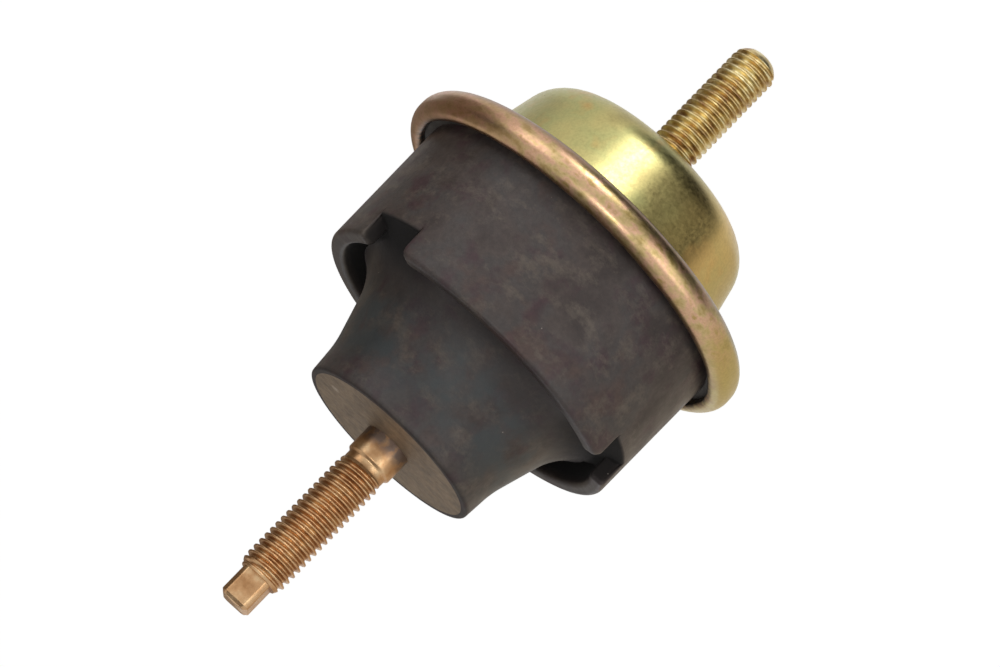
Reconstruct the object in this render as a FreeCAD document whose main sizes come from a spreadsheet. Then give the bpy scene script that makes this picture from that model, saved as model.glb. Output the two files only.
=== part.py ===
"""Hydraulic engine mount, a parametric FreeCAD document.

The mount stands along Z. Its origin is the middle of the cup's seat, where the body
stud leaves the cup: the stud hangs below z = 0 and the rest of the mount rises above it.
Every length is in millimetres and every angle in degrees.
"""
import FreeCAD, Part
import os
from math import radians

import Sketcher

Vector = FreeCAD.Vector

# Driving sizes: name, value, what it measures.
SIZES = [
    ("thread_radius", 4.95, "major radius of both M10 x 1.5 studs"),
    # body stud, pressed into the cup
    ("body_stud_reach", 32.8, "seat to the stud's tip"),
    ("body_stud_lead", 2.2, "height of the tip's lead-in taper"),
    ("body_stud_lead_depth", 1.1, "radial depth of the lead-in taper"),
    ("body_stud_tip_round", 0.8, "rounding of the tip's edge"),
    ("knurl_radius", 5.6, "knurled part of the stud, a press fit in the cup"),
    ("head_radius", 9.0, "stud head inside the cup"),
    ("head_height", 2.6, "height of that head"),
    # cup with its rolled rim
    ("cup_sheet", 1.6, "sheet thickness of the cup"),
    ("cup_floor_radius", 25.75, "cup wall carried down to the seat"),
    ("cup_shoulder_round", 8.7, "outer rounding between seat and wall"),
    ("cup_spread", 4.15, "wall at the rim's underside, wider than at the seat"),
    ("cup_mouth_round", 1.5, "outer rounding between wall and rim"),
    ("roll_bottom", 19.35, "seat to the underside of the rim"),
    ("roll_radius", 41.65, "outer radius of the rolled rim"),
    ("roll_lower_round", 3.65, "lower outer rounding of the rim"),
    ("roll_upper_round", 3.0, "upper outer rounding of the rim"),
    ("lip_reach", 3.85, "how far the lip reaches inward over the stack"),
    ("lip_clearance", 0.15, "between the lip and the flange under it"),
    # what the rim grips, from below: diaphragm bead, track plate, ring flange
    ("bead_height", 1.0, "diaphragm bead"),
    ("bead_clearance", 2.15, "bead's edge inside the rim's sheet"),
    ("plate_thickness", 0.9, "inertia track plate"),
    ("plate_clearance", 1.15, "track plate's edge inside the rim's sheet"),
    ("flange_thickness", 2.2, "flange of the outer ring"),
    ("flange_clearance", 1.45, "flange's edge inside the rim's sheet"),
    ("flange_edge_round", 0.6, "rounding of the flange's upper edge"),
    # outer ring, moulded into the rubber
    ("skirt_gap", 1.65, "between the lip and the rubber skirt"),
    ("ring_cover", 1.55, "rubber outside the ring's sleeve"),
    ("ring_wall", 2.0, "wall of the ring's sleeve"),
    ("ring_height", 9.0, "sleeve above the flange"),
    # inertia track and decoupler
    ("ring_lining", 1.4, "rubber between the sleeve and the track body"),
    ("track_body_height", 8.0, "height of the track body"),
    ("track_body_round", 1.0, "rounding of its upper edge"),
    ("track_wall", 3.7, "wall outside the inertia track"),
    ("track_width", 6.0, "width of the inertia track"),
    ("track_depth", 5.5, "depth of the inertia track"),
    ("track_angle", 320.0, "angle that the inertia track runs through"),
    ("port_radius", 2.0, "ports at the track's two ends"),
    ("port_angle", 8.0, "angle between a port and its end of the track"),
    ("cage_wall", 6.5, "wall between the track and the decoupler's recess"),
    ("decoupler_clearance", 0.3, "free play of the decoupler disc"),
    ("decoupler_thickness", 3.2, "decoupler disc"),
    ("decoupler_round", 0.6, "rounding of the disc's edges"),
    ("window_count", 6, "windows above the decoupler, and as many below it"),
    ("window_inset", 6.0, "windows' pitch circle inside the recess"),
    ("window_web", 3.8, "bridge between two windows"),
    # diaphragm
    ("membrane_thickness", 1.2, "wall of the diaphragm's bellows"),
    ("bellows_clearance", 0.51, "between the bellows and the cup's wall"),
    ("bellows_rise", 4.3, "between the stud's head and the bellows"),
    ("bellows_fold", 7.1, "width of the bellows' fold"),
    ("bellows_crown_drop", 4.95, "middle of the diaphragm below the track plate"),
    # rubber spring, from the rim up
    ("skirt_height", 29.6, "skirt above the ring's flange"),
    ("skirt_inset", 0.45, "the skirt's top inside its foot"),
    ("skirt_edge_round", 1.0, "rounding of the skirt's upper edges"),
    ("wall_thickness", 5.7, "skirt's wall at the flap and the notches"),
    ("wall_overlap", 2.0, "how deep that wall stands in the ledge"),
    ("notch_depth", 5.75, "skirt's top to the outer edge of the ledge"),
    ("flap_middle_angle", 261.7, "middle of the stop flap, about Z from +X"),
    ("flap_angle", 99.1, "angle of the stop flap"),
    ("notch_angle", 20.0, "angle of the notch each side of the flap"),
    ("septum_angle", 5.5, "rubber between a notch and a kidney slot"),
    ("web_angle", 30.0, "rubber between the two kidney slots"),
    ("slot_wall", 3.5, "skirt's wall outside the kidney slots"),
    ("slot_width", 3.6, "width of the kidney slots"),
    ("slot_depth", 14.65, "depth of the kidney slots"),
    ("slot_floor_round", 1.4, "rounding of their floor"),
    ("root_gap", 3.8, "foot of the cone inside the skirt's wall"),
    ("root_rise", 1.9, "foot of the cone above the ledge's edge"),
    ("root_round", 14.0, "flare between cone and ledge"),
    ("clamp_width", 3.2, "rubber ring that rests on the track body"),
    ("chamber_crown_radius", 11.0, "flat top of the fluid chamber"),
    ("chamber_crown_round", 9.0, "rounding of the chamber's top"),
    # core and the spring's neck round it
    ("core_rise", 21.65, "skirt's top to the face of the core"),
    ("core_face_radius", 19.0, "radius of the core's face"),
    ("core_disc_height", 4.5, "height of the core's upper disc"),
    ("core_disc_round", 1.0, "rounding of the disc's lower edge"),
    ("core_step", 3.0, "cone's top inside the disc"),
    ("core_cone_bottom", 8.0, "lower radius of the core's cone"),
    ("core_cone_height", 23.0, "height of the core's cone"),
    ("core_cone_round", 2.0, "roundings of the cone"),
    ("core_underlay", 4.3, "rubber between the core and the chamber"),
    ("rim_cover", 1.3, "rubber edge round the core's face"),
    ("rim_round", 0.4, "rounding of that edge"),
    ("neck_flare", 0.55, "how much the neck widens towards the cone"),
    ("neck_length", 7.3, "core's face to the end of the neck"),
    ("neck_round", 22.0, "rounding between neck and cone"),
    # engine stud
    ("shank_radius", 5.1, "stud's shank, pressed into the core and a collar above it"),
    ("press_depth", 17.0, "depth of the shank in the core"),
    ("press_round", 0.6, "rounding of the shank's end"),
    ("collar_height", 5.9, "height of the collar with its chamfer"),
    ("collar_chamfer", 1.0, "height of the collar's chamfer"),
    ("relief_depth", 0.75, "plain relief, deeper than the thread's outside"),
    ("relief_height", 1.5, "height of that relief"),
    ("engine_stud_reach", 42.9, "core face to the stud's tip"),
    ("square_length", 6.7, "length of the square driving end"),
    ("square_width", 6.4, "width of the square across its flats"),
    ("square_drop", 1.1, "square's rounded corners inside the thread"),
    ("square_chamfer", 0.9, "chamfer of the square's end"),
    ("square_angle", 12.0, "turn of the square about the stud"),
]


def size(name):
    """A driving size's formula."""
    return "Sizes." + name


# Radii that several pieces share, as formulas, from the rim inward.
ROLL_INSIDE = "(Sizes.roll_radius - Sizes.cup_sheet)"
LIP_RADIUS = "(Sizes.roll_radius - Sizes.lip_reach)"
SKIRT_BASE = f"({LIP_RADIUS} - Sizes.skirt_gap)"
SKIRT_TOP_RADIUS = f"({SKIRT_BASE} - Sizes.skirt_inset)"
SLEEVE_RADIUS = f"({SKIRT_BASE} - Sizes.ring_cover)"
RING_BORE = f"({SLEEVE_RADIUS} - Sizes.ring_wall)"
TRACK_BODY_RADIUS = f"({RING_BORE} - Sizes.ring_lining)"
TRACK_OUTSIDE = f"({TRACK_BODY_RADIUS} - Sizes.track_wall)"
TRACK_INSIDE = f"({TRACK_OUTSIDE} - Sizes.track_width)"
TRACK_MIDDLE = f"({TRACK_OUTSIDE} - Sizes.track_width / 2)"
CAGE_RADIUS = f"({TRACK_INSIDE} - Sizes.cage_wall)"
WINDOW_CIRCLE = f"({CAGE_RADIUS} - Sizes.window_inset)"
WINDOW_PITCH = f"(2 * {WINDOW_CIRCLE} * sin(180 deg / Sizes.window_count))"
WINDOW_RADIUS = f"(({WINDOW_PITCH} - Sizes.window_web) / 2)"
WALL_INSIDE = f"({SKIRT_TOP_RADIUS} - Sizes.wall_thickness)"
SLOT_OUTSIDE = f"({SKIRT_TOP_RADIUS} - Sizes.slot_wall)"
SLOT_INSIDE = f"({SLOT_OUTSIDE} - Sizes.slot_width)"
RIM_RADIUS = "(Sizes.core_face_radius + Sizes.rim_cover)"
CUP_MOUTH = "(Sizes.cup_floor_radius + Sizes.cup_spread)"
CUP_SLOPE = "(Sizes.cup_spread / Sizes.roll_bottom)"
SHEET_ACROSS = f"(Sizes.cup_sheet * sqrt(1 + {CUP_SLOPE} ^ 2))"
BELLOWS_RADIUS = f"(Sizes.cup_floor_radius - {SHEET_ACROSS} - Sizes.bellows_clearance)"

# Levels that several pieces share, from the seat up.
HEAD_TOP = "(Sizes.cup_sheet + Sizes.head_height)"
BEAD_BASE = "(Sizes.roll_bottom + Sizes.cup_sheet)"
PLATE_BASE = f"({BEAD_BASE} + Sizes.bead_height)"
FLANGE_BASE = f"({PLATE_BASE} + Sizes.plate_thickness)"
FLANGE_TOP = f"({FLANGE_BASE} + Sizes.flange_thickness)"
LIP_UNDERSIDE = f"({FLANGE_TOP} + Sizes.lip_clearance)"
ROLL_TOP = f"({LIP_UNDERSIDE} + Sizes.cup_sheet)"
RING_TOP = f"({FLANGE_TOP} + Sizes.ring_height)"
TRACK_TOP = f"({FLANGE_BASE} + Sizes.track_body_height)"
CAGE_ROOF = f"({FLANGE_BASE} + Sizes.decoupler_thickness + Sizes.decoupler_clearance)"
TRACK_ROOF = f"({FLANGE_BASE} + Sizes.track_depth)"
SKIRT_TOP = f"({FLANGE_TOP} + Sizes.skirt_height)"
LEDGE = f"({SKIRT_TOP} - Sizes.notch_depth)"
CORE_FACE = f"({SKIRT_TOP} + Sizes.core_rise)"
CORE_DISC_BASE = f"({CORE_FACE} - Sizes.core_disc_height)"
CORE_BASE = f"({CORE_DISC_BASE} - Sizes.core_cone_height)"
CHAMBER_CROWN = f"({CORE_BASE} - Sizes.core_underlay)"
STUD_TIP = f"({CORE_FACE} + Sizes.engine_stud_reach)"
SQUARE_BASE = f"({STUD_TIP} - Sizes.square_length)"

# The skirt's slope, and the bearings of its flap, back wall and kidney slots.
SKIRT_SLOPE = "(Sizes.skirt_inset / Sizes.skirt_height)"
FLAP_START = "(Sizes.flap_middle_angle - Sizes.flap_angle / 2)"
BACK_START = "(Sizes.flap_middle_angle + Sizes.flap_angle / 2 + Sizes.notch_angle)"
BACK_SPAN = "(360 - Sizes.flap_angle - 2 * Sizes.notch_angle)"
SLOT_SPAN = f"(({BACK_SPAN} - Sizes.web_angle) / 2 - Sizes.septum_angle)"
FIRST_SLOT_START = f"({BACK_START} + Sizes.septum_angle)"
SECOND_SLOT_START = f"({FIRST_SLOT_START} + {SLOT_SPAN} + Sizes.web_angle)"

doc = FreeCAD.newDocument("EngineMount")
sheet = doc.addObject("Spreadsheet::Sheet", "Sizes")
for row, (name, value, meaning) in enumerate(SIZES, start=1):
    sheet.set(f"A{row}", name)
    sheet.set(f"B{row}", str(value))
    sheet.setAlias(f"B{row}", name)
    sheet.set(f"C{row}", meaning)
doc.recompute()


def number(formula):
    """The present value of a formula, as a plain number."""
    value = sheet.evalExpression(formula)
    return float(getattr(value, "Value", value))


def new_body(label):
    """An empty body whose label names the piece."""
    body = doc.addObject("PartDesign::Body", label)
    body.Label = label
    return body


def plane(body, role):
    """One of the body's own origin planes."""
    for item in body.Origin.OriginFeatures:
        if item.Role == role:
            return item
    raise ValueError(role)


def attach(sketch, body, role, turn=None, lift=None):
    """Lay a sketch on an origin plane, turned about Z or lifted off the plane."""
    sketch.AttachmentSupport = [(plane(body, role), "")]
    sketch.MapMode = "FlatFace"
    if turn is not None:
        spin = FreeCAD.Rotation(Vector(0, 1, 0), number(turn))
        sketch.AttachmentOffset = FreeCAD.Placement(Vector(), spin)
        sketch.setExpression(".AttachmentOffset.Rotation.Angle", turn)
    if lift is not None:
        sketch.setExpression(".AttachmentOffset.Base.z", lift)


def fix_point(sketch, line, corner):
    """Hold the start of a line at a corner's two formulas."""
    for formula, kind, axis in ((corner[0], "DistanceX", -2), (corner[1], "DistanceY", -1)):
        if formula == "0":
            sketch.addConstraint(Sketcher.Constraint("PointOnObject", line, 1, axis))
        else:
            rule = Sketcher.Constraint(kind, -1, 1, line, 1, number(formula))
            index = sketch.addConstraint(rule)
            sketch.setExpression(f"Constraints[{index}]", formula)


def outline(body, name, corners, turn=None):
    """A closed outline in the half plane through Z: each corner is (radius, height) with,
    where the corner is rounded, the rounding as a third formula."""
    sketch = body.newObject("Sketcher::SketchObject", name)
    attach(sketch, body, "XZ_Plane", turn)
    points = [Vector(number(corner[0]), number(corner[1]), 0) for corner in corners]
    lines = []
    for index, point in enumerate(points):
        following = points[(index + 1) % len(points)]
        lines.append(sketch.addGeometry(Part.LineSegment(point, following), False))
    for index, line in enumerate(lines):
        sketch.addConstraint(Sketcher.Constraint("Coincident", lines[index - 1], 2, line, 1))
    for line, corner in zip(lines, corners):
        fix_point(sketch, line, corner)
    for index, corner in enumerate(corners):
        if len(corner) == 3:
            round_corner(sketch, lines[index - 1], lines[index], points, index, corner[2])
    return sketch


def round_corner(sketch, before, after, points, index, formula):
    """Round the corner between two lines, keeping the corner point that fixes them."""
    radius = number(formula)
    corner = points[index]
    towards = []
    for other in (points[index - 1], points[(index + 1) % len(points)]):
        towards.append(corner + (other - corner) * 0.5)
    arc = sketch.GeometryCount
    sketch.fillet(before, after, towards[0], towards[1], radius, True, True)
    hold = sketch.addConstraint(Sketcher.Constraint("Radius", arc, radius))
    sketch.setExpression(f"Constraints[{hold}]", formula)


def revolve(body, name, corners, start=None, span=None, cut=False):
    """Turn an outline about Z, all the way round or through a span from a start angle."""
    profile = outline(body, name + "_outline", corners, start)
    kind = "PartDesign::Groove" if cut else "PartDesign::Revolution"
    feature = body.newObject(kind, name)
    feature.Profile = profile
    feature.ReferenceAxis = (profile, ["V_Axis"])
    feature.Angle = 360
    if span is not None:
        feature.Angle = number(span)
        feature.setExpression("Angle", span)
    body.Tip = feature
    doc.recompute()
    return feature


def require_cut(before, feature):
    """A pocket or groove must leave less material than it found."""
    if not feature.Shape.Volume < before - 1e-6:
        raise RuntimeError(f"{feature.Name} removed nothing")


def groove(body, name, corners, start=None, span=None):
    """Cut an outline out of the body, turned about Z."""
    before = body.Shape.Volume
    feature = revolve(body, name, corners, start, span, cut=True)
    require_cut(before, feature)
    return feature


def drill(body, name, radius, circle, base, depth, count="1", bearing="0"):
    """Round holes, each up through the body from a base level, evenly spaced on a circle."""
    before = body.Shape.Volume
    sketch = body.newObject("Sketcher::SketchObject", name + "_outline")
    attach(sketch, body, "XY_Plane", lift=base)
    for index in range(round(number(count))):
        angle = f"({bearing} + 360 * {index} / {count})"
        across = f"{circle} * cos({angle} * 1 deg)"
        along = f"{circle} * sin({angle} * 1 deg)"
        middle = Vector(number(across), number(along), 0)
        hole = sketch.addGeometry(Part.Circle(middle, Vector(0, 0, 1), number(radius)), False)
        for kind, formula in (("DistanceX", across), ("DistanceY", along)):
            rule = Sketcher.Constraint(kind, -1, 1, hole, 3, number(formula))
            held = sketch.addConstraint(rule)
            sketch.setExpression(f"Constraints[{held}]", formula)
        held = sketch.addConstraint(Sketcher.Constraint("Radius", hole, number(radius)))
        sketch.setExpression(f"Constraints[{held}]", radius)
    pocket = body.newObject("PartDesign::Pocket", name)
    pocket.Profile = sketch
    pocket.Reversed = True
    pocket.Length = number(depth)
    pocket.setExpression("Length", depth)
    body.Tip = pocket
    doc.recompute()
    require_cut(before, pocket)
    return pocket


def body_stud():
    """Stud that leaves the seat, with a knurled shank in the cup and a head inside it."""
    body = new_body("body_stud")
    tip = "-Sizes.body_stud_reach"
    end = f"({size('thread_radius')} - {size('body_stud_lead_depth')})"
    revolve(body, "Turned", [
        ("0", tip),
        (end, tip, size("body_stud_tip_round")),
        (size("thread_radius"), f"({tip} + Sizes.body_stud_lead)"),
        (size("thread_radius"), "0"),
        (size("knurl_radius"), "0"),
        (size("knurl_radius"), size("cup_sheet")),
        (size("head_radius"), size("cup_sheet")),
        (size("head_radius"), HEAD_TOP),
        ("0", HEAD_TOP),
    ])


def base_cup():
    """Cup drawn from one sheet, its mouth flared flat and rolled back over the stack."""
    body = new_body("base_cup")
    inner_floor = f"(Sizes.cup_floor_radius + {CUP_SLOPE} * Sizes.cup_sheet - {SHEET_ACROSS})"
    inner_mouth = f"(Sizes.cup_floor_radius + {CUP_SLOPE} * {BEAD_BASE} - {SHEET_ACROSS})"
    revolve(body, "Drawn", [
        (size("knurl_radius"), "0"),
        (size("cup_floor_radius"), "0", size("cup_shoulder_round")),
        (CUP_MOUTH, size("roll_bottom"), size("cup_mouth_round")),
        (size("roll_radius"), size("roll_bottom"), size("roll_lower_round")),
        (size("roll_radius"), ROLL_TOP, size("roll_upper_round")),
        (LIP_RADIUS, ROLL_TOP),
        (LIP_RADIUS, LIP_UNDERSIDE),
        (ROLL_INSIDE, LIP_UNDERSIDE, "(Sizes.roll_upper_round - Sizes.cup_sheet)"),
        (ROLL_INSIDE, BEAD_BASE, "(Sizes.roll_lower_round - Sizes.cup_sheet)"),
        (inner_mouth, BEAD_BASE, "(Sizes.cup_mouth_round + Sizes.cup_sheet)"),
        (inner_floor, size("cup_sheet"), "(Sizes.cup_shoulder_round - Sizes.cup_sheet)"),
        (size("knurl_radius"), size("cup_sheet")),
    ])


def diaphragm():
    """Rubber diaphragm: a flat bead gripped by the rim and a folded bellows inside the cup."""
    body = new_body("diaphragm")
    bead = f"({ROLL_INSIDE} - Sizes.bead_clearance)"
    inside = f"({BELLOWS_RADIUS} - Sizes.bellows_fold)"
    bottom = f"({HEAD_TOP} + Sizes.bellows_rise)"
    crown = f"({PLATE_BASE} - Sizes.bellows_crown_drop)"
    fold = f"({inside} + Sizes.membrane_thickness)"
    hang = f"({BELLOWS_RADIUS} - Sizes.membrane_thickness)"
    trough = f"({bottom} + Sizes.membrane_thickness)"
    crown_base = f"({crown} - Sizes.membrane_thickness)"
    outer_bend = "(1.6 * Sizes.membrane_thickness)"
    inner_bend = "(0.6 * Sizes.membrane_thickness)"
    revolve(body, "Moulded", [
        ("0", crown_base),
        (inside, crown_base, inner_bend),
        (inside, bottom, outer_bend),
        (BELLOWS_RADIUS, bottom, outer_bend),
        (BELLOWS_RADIUS, BEAD_BASE, inner_bend),
        (bead, BEAD_BASE),
        (bead, PLATE_BASE),
        (hang, PLATE_BASE, outer_bend),
        (hang, trough, inner_bend),
        (fold, trough, inner_bend),
        (fold, crown, outer_bend),
        ("0", crown),
    ])


def track_plate():
    """Steel disc that closes the inertia track from below, with windows for the decoupler."""
    body = new_body("track_plate")
    edge = f"({ROLL_INSIDE} - Sizes.plate_clearance)"
    revolve(body, "Disc", [
        ("0", PLATE_BASE),
        (edge, PLATE_BASE),
        (edge, FLANGE_BASE),
        ("0", FLANGE_BASE),
    ])
    drill(body, "Windows", WINDOW_RADIUS, WINDOW_CIRCLE,
          PLATE_BASE, size("plate_thickness"), count=size("window_count"))
    drill(body, "LowerPort", size("port_radius"), TRACK_MIDDLE, PLATE_BASE,
          size("plate_thickness"), bearing="(Sizes.track_angle - Sizes.port_angle)")


def track_body():
    """Cast body with the inertia track as a groove in its underside."""
    body = new_body("track_body")
    revolve(body, "Cast", [
        ("0", FLANGE_BASE),
        (TRACK_BODY_RADIUS, FLANGE_BASE),
        (TRACK_BODY_RADIUS, TRACK_TOP, size("track_body_round")),
        ("0", TRACK_TOP),
    ])
    groove(body, "Cage", [
        ("0", FLANGE_BASE),
        (CAGE_RADIUS, FLANGE_BASE),
        (CAGE_RADIUS, CAGE_ROOF),
        ("0", CAGE_ROOF),
    ])
    groove(body, "Track", [
        (TRACK_INSIDE, FLANGE_BASE),
        (TRACK_OUTSIDE, FLANGE_BASE),
        (TRACK_OUTSIDE, TRACK_ROOF),
        (TRACK_INSIDE, TRACK_ROOF),
    ], start="0", span=size("track_angle"))
    drill(body, "Windows", WINDOW_RADIUS, WINDOW_CIRCLE,
          CAGE_ROOF, f"({TRACK_TOP} - {CAGE_ROOF})", count=size("window_count"))
    drill(body, "UpperPort", size("port_radius"), TRACK_MIDDLE,
          TRACK_ROOF, f"({TRACK_TOP} - {TRACK_ROOF})", bearing=size("port_angle"))


def decoupler_disc():
    """Loose rubber disc that lies on the track plate inside its cage."""
    body = new_body("decoupler_disc")
    edge = f"({CAGE_RADIUS} - Sizes.decoupler_clearance)"
    top = f"({FLANGE_BASE} + Sizes.decoupler_thickness)"
    revolve(body, "Moulded", [
        ("0", FLANGE_BASE),
        (edge, FLANGE_BASE, size("decoupler_round")),
        (edge, top, size("decoupler_round")),
        ("0", top),
    ])


def ring_outline():
    """Corners of the outer ring, which the rubber is moulded round."""
    edge = f"({ROLL_INSIDE} - Sizes.flange_clearance)"
    return [
        (RING_BORE, FLANGE_BASE),
        (edge, FLANGE_BASE),
        (edge, FLANGE_TOP, size("flange_edge_round")),
        (SLEEVE_RADIUS, FLANGE_TOP),
        (SLEEVE_RADIUS, RING_TOP),
        (RING_BORE, RING_TOP),
    ]


def outer_ring():
    """Steel ring: a sleeve inside the skirt and a flange that the rim grips."""
    revolve(new_body("outer_ring"), "Pressed", ring_outline())


def core_outline():
    """Corners of the core, which the rubber is moulded round."""
    cone_top = "(Sizes.core_face_radius - Sizes.core_step)"
    return [
        ("0", CORE_BASE),
        (size("core_cone_bottom"), CORE_BASE, size("core_cone_round")),
        (cone_top, CORE_DISC_BASE, size("core_cone_round")),
        (size("core_face_radius"), CORE_DISC_BASE, size("core_disc_round")),
        (size("core_face_radius"), CORE_FACE),
        ("0", CORE_FACE),
    ]


def core_insert():
    """Metal core: a disc whose face shows, a cone inside the rubber and the stud's bore."""
    body = new_body("core_insert")
    revolve(body, "Forged", core_outline())
    floor = f"({CORE_FACE} - Sizes.press_depth)"
    groove(body, "Bore", [
        ("0", floor),
        (size("shank_radius"), floor),
        (size("shank_radius"), CORE_FACE),
        ("0", CORE_FACE),
    ])


def rubber_spring():
    """Moulded spring: neck, cone and flare, the skirt with its stop flap between two
    notches, and two kidney slots behind the rest of the skirt."""
    body = new_body("rubber_spring")
    inside_sleeve = f"({RING_BORE} + Sizes.ring_wall / 2)"
    revolve(body, "Spring", [
        ("0", CHAMBER_CROWN),
        (size("chamber_crown_radius"), CHAMBER_CROWN, size("chamber_crown_round")),
        (f"({TRACK_BODY_RADIUS} - Sizes.clamp_width)", TRACK_TOP),
        (TRACK_BODY_RADIUS, TRACK_TOP),
        (TRACK_BODY_RADIUS, FLANGE_BASE),
        (inside_sleeve, FLANGE_BASE),
        (inside_sleeve, FLANGE_TOP),
        (SKIRT_BASE, FLANGE_TOP),
        (f"({SKIRT_TOP_RADIUS} + {SKIRT_SLOPE} * Sizes.notch_depth)", LEDGE),
        (f"({WALL_INSIDE} - Sizes.root_gap)", f"({LEDGE} + Sizes.root_rise)",
         size("root_round")),
        (f"({RIM_RADIUS} + Sizes.neck_flare)", f"({CORE_FACE} - Sizes.neck_length)",
         size("neck_round")),
        (RIM_RADIUS, CORE_FACE, size("rim_round")),
        ("0", CORE_FACE),
    ])
    below = f"({LEDGE} - Sizes.wall_overlap)"
    wall = [
        (WALL_INSIDE, below),
        (f"({SKIRT_TOP_RADIUS} + {SKIRT_SLOPE} * (Sizes.notch_depth + Sizes.wall_overlap))",
         below),
        (SKIRT_TOP_RADIUS, SKIRT_TOP, size("skirt_edge_round")),
        (WALL_INSIDE, SKIRT_TOP, size("skirt_edge_round")),
    ]
    revolve(body, "StopFlap", wall, FLAP_START, size("flap_angle"))
    revolve(body, "BackWall", wall, BACK_START, BACK_SPAN)
    floor = f"({SKIRT_TOP} - Sizes.slot_depth)"
    above = f"({SKIRT_TOP} + Sizes.wall_overlap)"
    slot = [
        (SLOT_INSIDE, floor, size("slot_floor_round")),
        (SLOT_OUTSIDE, floor, size("slot_floor_round")),
        (SLOT_OUTSIDE, above),
        (SLOT_INSIDE, above),
    ]
    groove(body, "FirstSlot", slot, FIRST_SLOT_START, SLOT_SPAN)
    groove(body, "SecondSlot", slot, SECOND_SLOT_START, SLOT_SPAN)
    groove(body, "CoreSeat", core_outline())
    groove(body, "RingSeat", ring_outline())


def square_end(body):
    """Four flats milled on the stud's end: all outside a square, down to its base."""
    flats = body.newObject("Sketcher::SketchObject", "Flats_outline")
    attach(flats, body, "XY_Plane", lift=STUD_TIP)
    half = number("Sizes.square_width / 2")
    turn = number(size("square_angle"))
    spin = FreeCAD.Rotation(Vector(0, 0, 1), turn)
    corners = []
    for across, along in ((half, -half), (half, half), (-half, half), (-half, -half)):
        corners.append(spin.multVec(Vector(across, along, 0)))
    sides = []
    for index, corner in enumerate(corners):
        side = Part.LineSegment(corner, corners[(index + 1) % 4])
        sides.append(flats.addGeometry(side, False))
    rim = flats.addGeometry(Part.Circle(Vector(), Vector(0, 0, 1), 2 * half), False)
    for index, side in enumerate(sides):
        flats.addConstraint(Sketcher.Constraint("Coincident", sides[index - 1], 2, side, 1))
    flats.addConstraint([
        Sketcher.Constraint("Symmetric", sides[0], 1, sides[2], 1, -1, 1),
        Sketcher.Constraint("Symmetric", sides[1], 1, sides[3], 1, -1, 1),
        Sketcher.Constraint("Perpendicular", sides[0], sides[1]),
        Sketcher.Constraint("Equal", sides[0], sides[1]),
        Sketcher.Constraint("Coincident", rim, 3, -1, 1),
    ])
    for rule, formula in (
        (Sketcher.Constraint("Distance", sides[0], 2 * half), size("square_width")),
        (Sketcher.Constraint("Angle", -2, sides[0], radians(turn)), size("square_angle")),
        (Sketcher.Constraint("Radius", rim, 2 * half), size("square_width")),
    ):
        held = flats.addConstraint(rule)
        flats.setExpression(f"Constraints[{held}]", formula)
    before = body.Shape.Volume
    pocket = body.newObject("PartDesign::Pocket", "Flats")
    pocket.Profile = flats
    pocket.Length = number(size("square_length"))
    pocket.setExpression("Length", size("square_length"))
    body.Tip = pocket
    doc.recompute()
    require_cut(before, pocket)


def engine_stud():
    """Stud pressed into the core, with a collar, a rolled thread and a square driving end."""
    body = new_body("engine_stud")
    foot = f"({CORE_FACE} - Sizes.press_depth)"
    collar_top = f"({CORE_FACE} + Sizes.collar_height)"
    thread_base = f"({collar_top} + Sizes.relief_height)"
    relief = "(Sizes.thread_radius - Sizes.relief_depth)"
    corner = "(Sizes.thread_radius - Sizes.square_drop)"
    revolve(body, "Turned", [
        ("0", foot),
        (size("shank_radius"), foot, size("press_round")),
        (size("shank_radius"), f"({collar_top} - Sizes.collar_chamfer)"),
        (relief, collar_top),
        (relief, thread_base),
        (size("thread_radius"), f"({thread_base} + Sizes.relief_depth)"),
        (size("thread_radius"), f"({SQUARE_BASE} - Sizes.square_drop / 2)"),
        (corner, SQUARE_BASE),
        (corner, f"({STUD_TIP} - Sizes.square_chamfer)"),
        (f"({corner} - Sizes.square_chamfer)", STUD_TIP),
        ("0", STUD_TIP),
    ])
    square_end(body)


def check_document():
    """Stop on any failed object, and on any body without one valid solid."""
    for item in doc.Objects:
        if "Invalid" in item.State or "Error" in item.State:
            raise RuntimeError(f"{item.Name} failed: {item.State}")
    for body in doc.findObjects("PartDesign::Body"):
        shape = body.Shape
        if shape.isNull() or not shape.isValid() or len(shape.Solids) != 1:
            raise RuntimeError(f"{body.Label} is not one valid solid")


for make in (body_stud, base_cup, diaphragm, track_plate, track_body, decoupler_disc,
             outer_ring, core_insert, rubber_spring, engine_stud):
    make()
doc.recompute()
check_document()
os.makedirs("parts", exist_ok=True)
for piece in doc.findObjects("PartDesign::Body"):
    piece.Shape.exportStep(f"parts/{piece.Label}.step")
    box = piece.Shape.BoundBox
    print(f"{piece.Label}: {piece.Shape.Volume:.0f} mm3, z {box.ZMin:.2f} to {box.ZMax:.2f},"
          f" x {box.XMin:.2f} to {box.XMax:.2f}")
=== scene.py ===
# %% [markdown]
# # A hydraulic engine mount
#
# The mount is a zinc-plated steel cup, rolled over a moulded rubber spring, with a stud on
# each end. The CAD model already gives every piece its real size and place. This lesson adds
# what the eye looks for: rolled threads, soft moulded corners, plated metal and worked rubber.
#
# The CAD model comes first. Nothing in it is moved. A piece whose form is right keeps its mesh
# and only gets a finish, and a piece that needs finer form is replaced by a new mesh.

# %% Load the frame
import math

import bmesh
import bpy
import numpy as np
from mathutils import Matrix, Vector


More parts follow.
